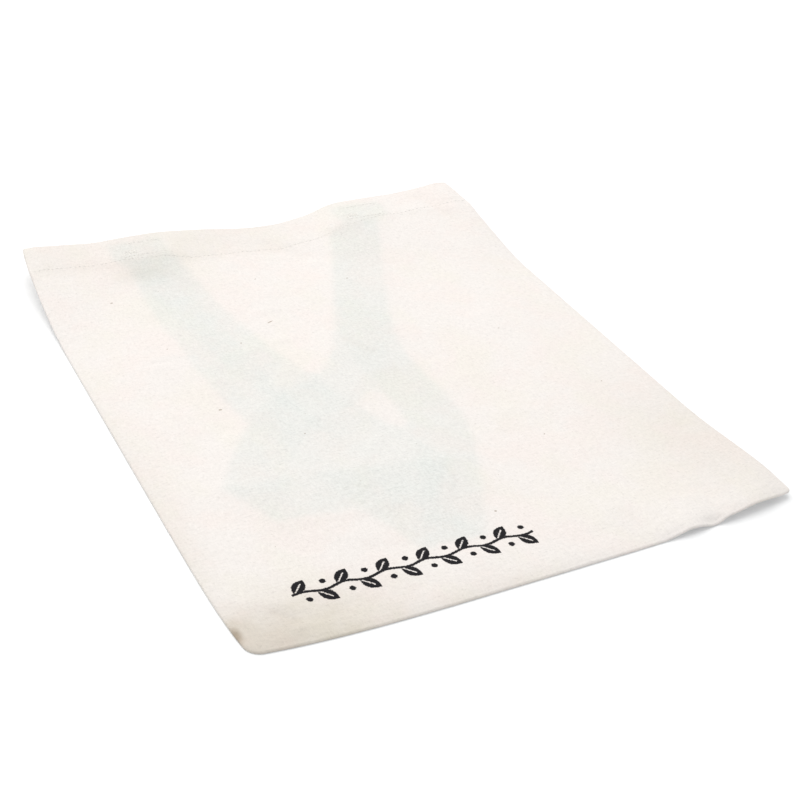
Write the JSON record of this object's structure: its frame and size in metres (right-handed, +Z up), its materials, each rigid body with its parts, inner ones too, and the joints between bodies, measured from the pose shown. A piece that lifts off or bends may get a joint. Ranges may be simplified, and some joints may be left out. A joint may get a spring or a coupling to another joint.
{
  "type": "cotton bag",
  "caption": "Flat cotton carrier bag lying on its back, with sewn sides, a turned-in hem and both long handles tucked inside.",
  "frame": {"origin": "centre of the bag's box, on the surface that its back lies on", "axes": "+X across the bag, +Y from the bottom seam to the mouth, +Z up from the back panel to the front panel"},
  "size_m": [0.3, 0.3818, 0.0195],
  "materials": {
    "panel_cloth": "plain woven unbleached cotton, matt",
    "turned_edge": "the same cotton folded over and stitched",
    "handle_strap": "cotton strap folded four thick and stitched"
  },
  "bodies": {
    "back": {"back_panel": "panel_cloth", "back_hem": "turned_edge", "left_side_seam": "turned_edge", "right_side_seam": "turned_edge", "bottom_seam": "turned_edge", "back_handle": "handle_strap"},
    "front": {"front_panel": "panel_cloth", "front_hem": "turned_edge", "front_handle": "handle_strap"}
  },
  "joints": [
    {"name": "mouth_open", "type": "hinge", "parent": "back", "child": "front", "pos_m": [0, -0.19104, 0.003], "axis": [1, 0, 0], "range_deg": [0, 8]}
  ]
}
